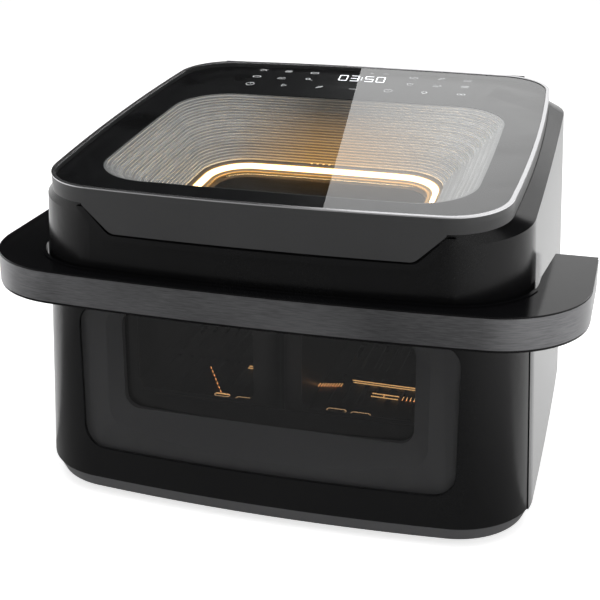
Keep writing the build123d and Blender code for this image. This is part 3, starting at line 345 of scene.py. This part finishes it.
# Every solid's material
FINISHES = (
    (gloss_black, ("main_housing", "drawer_shell")),
    (deck_black, ("handle_deck", "handle_base")),
    (base_grey, ("base_tray",)),
    (rubber, ("rubber_feet",)),
    (silicone, ("lid_seal", "drawer_seal")),
    (rim_mat(), ("lid_rim",)),
    (satin_grey, ("lid_frame",)),
    (clear_glass, ("top_glass",)),
    (mask_black, ("panel_mask", "display_module")),
    (reflector_mat(), ("reflector",)),
    (light_mat(), ("light_ring",)),
    (warm_trim_painted_glow, ("pane_retainer",)),
    (inner_glass, ("lid_inner_pane", "basket_glass_left", "basket_glass_right")),
    (board_green, ("touch_board", "power_board")),
    (gunmetal, ("handle_band",)),
    (tinted_glass, ("window_glass",)),
    (bezel_grey, ("window_frame",)),
    (smoked_glass, ("window_inner_glass",)),
    (nonstick, ("drawer_panel", "drawer_pan", "basket_left", "basket_right",
                "crisper_left", "crisper_right")),
    (sheet_steel, ("lid_shield", "cavity_liner", "cavity_top", "cavity_frame",
                   "chamber_throat", "fan_box")),
    (zinc, ("rail_left", "rail_right", "runner_left", "runner_right", "fan_shaft_left",
            "fan_shaft_right", "hinge_pin_left", "hinge_pin_right")),
    (heater_dark, ("heater_left", "heater_right")),
    (ceramic, ("heater_terminals",)),
    (aluminium, ("fan_left", "fan_right")),
    (motor_paint, ("fan_motor_left", "fan_motor_right")),
    (rear_black, ("rear_vent", "cord_gland", "hinge_bracket_left", "hinge_bracket_right")),
)
for finish, names in FINISHES:
    for name in names:
        slots = nodes[name].data.materials
        slots.clear()
        slots.append(finish)


# Small pieces
def new_object(name, data):
    ob = bpy.data.objects.new(name, data)
    scene.collection.objects.link(ob)
    return ob


def mesh_piece(name, verts, faces, mat, body):
    me = bpy.data.meshes.new(name)
    me.from_pydata([tuple(v) for v in verts], [], faces)
    me.update()
    me.materials.append(mat)
    ob = new_object(name, me)
    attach(ob, body)


def wire(name, strokes, radius, mat, body, closed=False):
    cu = bpy.data.curves.new(name, "CURVE")
    cu.dimensions = "3D"
    cu.bevel_depth = radius
    cu.bevel_resolution = 2
    for pts in strokes:
        spline = cu.splines.new("POLY")
        spline.points.add(len(pts) - 1)
        for point, place_at in zip(spline.points, pts):
            point.co = (*place_at, 1)
        spline.use_cyclic_u = closed
    cu.materials.append(mat)
    ob = new_object(name, cu)
    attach(ob, body)


# Flat marks on the glass, drawn as strips in lid coordinates
class Marks:
    def __init__(self):
        self.verts = []
        self.faces = []

    def bar(self, x0, y0, x1, y1, width):
        along = Vector((x1 - x0, y1 - y0))
        along.normalize()
        side = Vector((-along.y, along.x)) * (width / 2)
        n = len(self.verts)
        self.verts += [on_lid(x, y, MARK_DEPTH) for x, y in (
            (x0 - side.x, y0 - side.y), (x1 - side.x, y1 - side.y),
            (x1 + side.x, y1 + side.y), (x0 + side.x, y0 + side.y))]
        self.faces.append(list(range(n, n + 4)))


# Clock: four seven-segment digits that lean forward, and a colon
SEGMENTS = {"0": "abcdef", "3": "abgcd", "5": "afgcd"}
DIGITS_X = (("0", -0.0190), ("3", -0.0080), ("5", 0.0062), ("0", 0.0172))
DIGIT_Y, DIGIT_WIDTH, DIGIT_HEIGHT = 0.1354, 0.0074, 0.0168
STROKE, LEVEL_STROKE = 0.0010, 0.00145
LEAN = -0.09
COLON_LEFT, COLON_RIGHT, COLON_Y, COLON_SIDE = 0.0018, 0.0033, 0.1356, 0.0021


def digit(marks, ch, x, y):
    w, h = DIGIT_WIDTH, DIGIT_HEIGHT
    ends = {"a": ((0, h), (w, h)), "b": ((w, h / 2), (w, h)), "c": ((w, 0), (w, h / 2)),
            "d": ((0, 0), (w, 0)), "e": ((0, 0), (0, h / 2)), "f": ((0, h / 2), (0, h)),
            "g": ((0, h / 2), (w, h / 2))}
    for s in SEGMENTS[ch]:
        (ax, ay), (bx, by) = ends[s]
        marks.bar(x + ax + LEAN * ay, y + ay, x + bx + LEAN * by, y + by,
                  LEVEL_STROKE if ay == by else STROKE)


digits = Marks()
for ch, x in DIGITS_X:
    digit(digits, ch, x, DIGIT_Y)
for rise in (0.0042, 0.0108):
    y = COLON_Y + rise
    digits.bar(COLON_LEFT + LEAN * rise, y, COLON_RIGHT + LEAN * rise, y, COLON_SIDE)
digit_white = glow("display_white", (0.95, 0.97, 1.0), 1.15)
mesh_piece("clock_digits", digits.verts, digits.faces, digit_white, "lid")

# Touch icons: simple marks in a unit box, one to a key. Near-level strokes are wider,
# so that they look as strong as the others from the front.
ICON_X, ICON_Y = 0.0038, 0.0046
ICON_STROKE, LEVEL_ICON_STROKE = 0.00055, 0.000935
NEAR_LEVEL = 0.3


def arc(cx, cy, r, start=0, end=360, n=14):
    angles = [math.radians(start + (end - start) * i / n) for i in range(n + 1)]
    return [(cx + r * math.cos(a), cy + r * math.sin(a)) for a in angles]


ICONS = {
    "clock": (arc(0, 0, 1), ((0, 0), (0, 0.6))),
    "fish": (((-1, -0.2), (-0.4, 0.5), (0.4, 0.3), (1, -0.5)),
             ((-1, -0.2), (-0.3, -0.5), (0.4, -0.1), (1, 0.6))),
    "stack": (((-0.8, 0.5), (0.8, 0.5)), ((-1, 0), (1, 0)), ((-0.8, -0.5), (0.8, -0.5))),
    "pill": (arc(-0.5, 0, 0.5, 90, 270, 8), arc(0.5, 0, 0.5, -90, 90, 8),
             ((-0.5, 0.5), (0.5, 0.5)), ((-0.5, -0.5), (0.5, -0.5))),
    "pair": (arc(-0.5, 0, 0.42), arc(0.5, 0, 0.42)),
    "leg": (arc(-0.3, 0.2, 0.5), ((0.1, -0.1), (1, -0.7))),
    "leaf": (((-0.7, -0.7), (-0.2, 0.5), (0.7, 0.8), (0.4, -0.1), (-0.7, -0.7), (0.7, 0.8)),),
    "dash": (((-1, 0), (1, 0)),),
    "play": (((-0.5, -0.7), (0.6, 0), (-0.5, 0.7), (-0.5, -0.7)),),
    "waves": (((-1, -0.3), (-0.5, 0.3), (0, -0.3), (0.5, 0.3), (1, -0.3)),
              ((-1, -0.8), (1, -0.8))),
    "cup": (((-0.8, 0.5), (-0.5, -0.6), (0.5, -0.6), (0.8, 0.5), (-0.8, 0.5)),),
    "bulb": (arc(0, 0.2, 0.6), ((-0.3, -0.7), (0.3, -0.7))),
}
# Kind, place and share of the full size
ICON_TABLE = (
    ("fish", -0.0994, 0.1555, 1), ("stack", -0.0738, 0.1553, 1), ("pill", -0.0473, 0.1546, 1),
    ("pill", -0.0992, 0.1325, 1), ("waves", -0.0741, 0.1328, 1), ("leg", -0.0472, 0.1325, 1),
    ("clock", -0.0981, 0.1074, 1), ("play", -0.0650, 0.1088, 1), ("leaf", -0.0309, 0.1088, 1),
    ("dash", 0.0017, 0.1087, 1), ("clock", 0.0345, 0.1096, 1), ("bulb", 0.0679, 0.1101, 1),
    ("pair", 0.1016, 0.1108, 1), ("pill", 0.0498, 0.1558, 1), ("leaf", 0.0758, 0.1575, 1),
    ("waves", 0.1009, 0.1579, 1), ("cup", 0.0502, 0.1342, 1), ("waves", 0.0759, 0.1349, 1),
    ("stack", 0.1015, 0.1353, 1), ("play", 0.0074, 0.1640, 0.5), ("dash", 0.0211, 0.1645, 0.7),
)
icons = Marks()
for kind, x, y, share in ICON_TABLE:
    sx, sy = ICON_X * share, ICON_Y * share
    for pts in ICONS[kind]:
        for (ax, ay), (bx, by) in zip(pts, pts[1:]):
            icons.bar(x + ax * sx, y + ay * sy, x + bx * sx, y + by * sy,
                      LEVEL_ICON_STROKE if abs(ay - by) < NEAR_LEVEL else ICON_STROKE)
icon_grey = glow("icon_grey", (0.62, 0.63, 0.64), 0.34)
mesh_piece("touch_icons", icons.verts, icons.faces, icon_grey, "lid")

# Painted warm glints: glowing strips along the crisper plates and round their slots stand in for
# reflections of the light ring
gold_glint_glow = glow("warm_glint", (0.95, 0.55, 0.22), 1.15)
pale = glow("faint_glint", (0.75, 0.48, 0.26), 1.0)
PLATE_Z = 0.0461
SLOT_WIDTH = 0.0055
LOOP_RADIUS, GLINT_RADIUS, DOT_RADIUS, SPARK_RADIUS = 0.00032, 0.0005, 0.00042, 0.0004


def on_plate(x0, y0, x1, y1):
    return [(x0, y0, PLATE_Z), (x1, y1, PLATE_Z)]


def slot_loop(x0, x1, y):
    r = SLOT_WIDTH / 2
    ends = arc(x0 + r, y, r, 90, 270, 8) + arc(x1 - r, y, r, -90, 90, 8)
    return [(px, py, PLATE_Z) for px, py in ends]


# Painted glints round the slots: thin glowing loops, not real rims
wire("slot_rim_glints_left", [slot_loop(-0.060, -0.028, -0.0585), slot_loop(-0.0805, -0.0665, -0.056)],
     LOOP_RADIUS, pale, "drawer", closed=True)
wire("slot_rim_glints_right", [slot_loop(0.022, 0.039, -0.0575), slot_loop(0.0435, 0.0605, -0.0590)],
     LOOP_RADIUS, pale, "drawer", closed=True)
wire("plate_glints_left", [on_plate(-0.069, 0.003, -0.052, 0.002),
                           on_plate(-0.069, 0.007, -0.053, 0.006),
                           on_plate(-0.080, -0.054, -0.068, -0.0545)],
     GLINT_RADIUS, gold_glint_glow, "drawer")
wire("plate_glints_right", [on_plate(0.030, 0.004, 0.118, 0.002),
                            on_plate(0.032, 0.000, 0.118, -0.002),
                            on_plate(0.053, -0.017, 0.077, -0.0175),
                            on_plate(0.053, -0.023, 0.077, -0.0235),
                            on_plate(0.064, -0.018, 0.064, -0.023)],
     GLINT_RADIUS, gold_glint_glow, "drawer")


# A row of short dashes: the first one's start, the step to the next, a dash's own run
def dash_row(count, start, step, run):
    rows = []
    for i in range(count):
        x, y = start[0] + step[0] * i, start[1] + step[1] * i
        rows.append(on_plate(x, y, x + run[0], y + run[1]))
    return rows


# Painted glints: short glowing dashes on the crisper plates
wire("plate_dot_glints",
     dash_row(7, (-0.103, -0.004), (0.025 / 6, -0.044 / 6), (0.0016, -0.0032))
     + dash_row(9, (0.0035, -0.016), (0.0024, 0.0006), (0.0004, 0.006))
     + dash_row(5, (0.081, -0.023), (0.0034, 0.0), (0.0, 0.006)),
     DOT_RADIUS, gold_glint_glow, "drawer")

# Painted warm glints at the foot of the reflector's back wall: short glowing strips that stand in
# for the light ring's reflection
SPARK_Y, SPARK_RUN = 0.0268, 0.0018
wire("reflector_spark_glints", [[on_lid(x, SPARK_Y, 0.0462), on_lid(x + SPARK_RUN, SPARK_Y, 0.0459)]
                          for x in (-0.0172, -0.0118, -0.0064, -0.001)],
     SPARK_RADIUS, gold_glint_glow, "lid")


# Stage: pale floor with a wall round it. Both shine only for the background's rays.
def white_stage(name, diffuse, emit):
    m, tree, out = bare_mat(name)
    body = tree.nodes.new("ShaderNodeBsdfDiffuse")
    body.inputs["Color"].default_value = (diffuse, diffuse, diffuse, 1)
    shine = tree.nodes.new("ShaderNodeEmission")
    link(tree, math_node(tree, "MULTIPLY", background_rays(tree), emit), shine.inputs["Strength"])
    both = tree.nodes.new("ShaderNodeAddShader")
    link(tree, body.outputs[0], both.inputs[0])
    link(tree, shine.outputs[0], both.inputs[1])
    link(tree, both.outputs[0], out.inputs["Surface"])
    return m


def round_wall(name, radius, low, high):
    bpy.ops.mesh.primitive_cylinder_add(vertices=STAGE_SIDES, radius=radius, depth=high - low,
                                        end_fill_type="NOTHING", location=(0, 0, (low + high) / 2))
    ob = bpy.context.object
    ob.name = name
    return ob


# Seen only as a reflection
def reflection_only(ob):
    ob.visible_camera = False
    ob.visible_diffuse = False
    ob.visible_shadow = False


STAGE_SIDES = 96
STAGE_RADIUS, SHADE_RADIUS = 3.2, 3.15
WALL_TOP, SHADE_TOP = 0.9, 3.1
bpy.ops.mesh.primitive_circle_add(vertices=STAGE_SIDES, radius=STAGE_RADIUS, fill_type="NGON",
                                  location=(0, 0, 0))
floor = bpy.context.object
floor.name = "stage_floor"
floor.data.materials.append(white_stage("stage_floor_white", 0.8, 0.74))
wall = round_wall("stage_wall", STAGE_RADIUS, 0.0, WALL_TOP)
wall.data.materials.append(white_stage("stage_wall_white", 0.5, 1.0))

# Dark shade above the wall, as in a studio with its ceiling lights off
shade = round_wall("stage_shade", SHADE_RADIUS, WALL_TOP, SHADE_TOP)
shade_dark, shade_tree, shade_bsdf = new_mat("stage_shade_dark")
shade_bsdf.inputs["Base Color"].default_value = (0.008, 0.008, 0.008, 1)
shade_bsdf.inputs["Roughness"].default_value = 1.0
shade.data.materials.append(shade_dark)
reflection_only(shade)

world = bpy.data.worlds.new("studio") if scene.world is None else scene.world
scene.world = world
world.use_nodes = True
sky = world.node_tree
sky_inputs = sky.nodes["Background"].inputs
sky_inputs["Color"].default_value = (*WHITE, 1)
SKY_LIGHT, SKY_SEEN = 0.06, 1.0
link(sky, remap(sky, background_rays(sky), SKY_LIGHT, SKY_SEEN, 0.0, 1.0), sky_inputs["Strength"])


# Soft lamps
def soft_light(name, location, size, size_y, power, target=(0, 0, 0.2), glossy=False):
    lamp = bpy.data.lights.new(name, "AREA")
    lamp.shape = "RECTANGLE"
    lamp.size = size
    lamp.size_y = size_y
    lamp.energy = power
    ob = new_object(name, lamp)
    ob.location = location
    ob.rotation_euler = (Vector(target) - Vector(location)).to_track_quat("-Z", "Y").to_euler()
    ob.visible_glossy = glossy
    ob.visible_camera = False


soft_light("top_soft", (0.1, -0.1, 2.6), 2.6, 2.6, 62, glossy=True)
soft_light("left_soft", (-2.2, -1.0, 1.6), 1.2, 1.6, 12)
soft_light("right_soft", (2.2, -0.9, 1.6), 1.2, 1.6, 16)


def reflected_quad(name, corners, mat):
    me = bpy.data.meshes.new(name)
    me.from_pydata(corners, [], [(0, 1, 2, 3)])
    me.materials.append(mat)
    ob = new_object(name, me)
    reflection_only(ob)
    return ob


# Grey card on the floor in front, soft at both sides, for the front faces
card_grey, card_tree, card_out = bare_mat("stage_card_grey")
card_shine = card_tree.nodes.new("ShaderNodeEmission")
card_shine.inputs["Strength"].default_value = 0.38
card_clear = card_tree.nodes.new("ShaderNodeBsdfTransparent")
card_x = place_x(card_tree)
card_fade = math_node(card_tree, "MULTIPLY", remap(card_tree, card_x, 1.0, 0.0, 0.22, 0.75),
                      remap(card_tree, card_x, 0.0, 1.0, -1.1, -0.5))
link(card_tree, mix_shader(card_tree, card_fade, card_clear.outputs[0], card_shine.outputs[0]),
     card_out.inputs["Surface"])
CARD_Z = 0.0012
card = reflected_quad("stage_card", [(-1.3, -3.0, CARD_Z), (0.9, -3.0, CARD_Z),
                                     (0.9, -0.1, CARD_Z), (-1.3, -0.1, CARD_Z)], card_grey)

# Tall bright panel behind, for the right half of the top glass
panel_light, panel_tree, panel_out = bare_mat("stage_panel_light")
panel_shine = panel_tree.nodes.new("ShaderNodeEmission")
panel_shine.inputs["Strength"].default_value = 1.35
link(panel_tree, panel_shine.outputs[0], panel_out.inputs["Surface"])
PANEL_Y, PANEL_LOW, PANEL_HIGH = 2.5, 0.90, 2.3
panel = reflected_quad("stage_panel", [(-0.49, PANEL_Y, PANEL_LOW), (1.7, PANEL_Y, PANEL_LOW),
                                       (1.7, PANEL_Y, PANEL_HIGH), (-0.89, PANEL_Y, PANEL_HIGH)],
                       panel_light)

# Camera at the photograph's angle
cam = bpy.data.cameras.new("photo_camera")
cam.lens = 71.66
cam.sensor_width = 36.0
cam.shift_y = -0.12
cam.clip_start = 0.01
cam_ob = new_object("photo_camera", cam)
cam_ob.location = (0.25367, -0.95291, 0.51495)
aim = Vector((-0.2607, 0.9131, -0.3135))
cam_ob.rotation_euler = aim.to_track_quat("-Z", "Y").to_euler()
scene.camera = cam_ob

scene.view_settings.view_transform = "Standard"
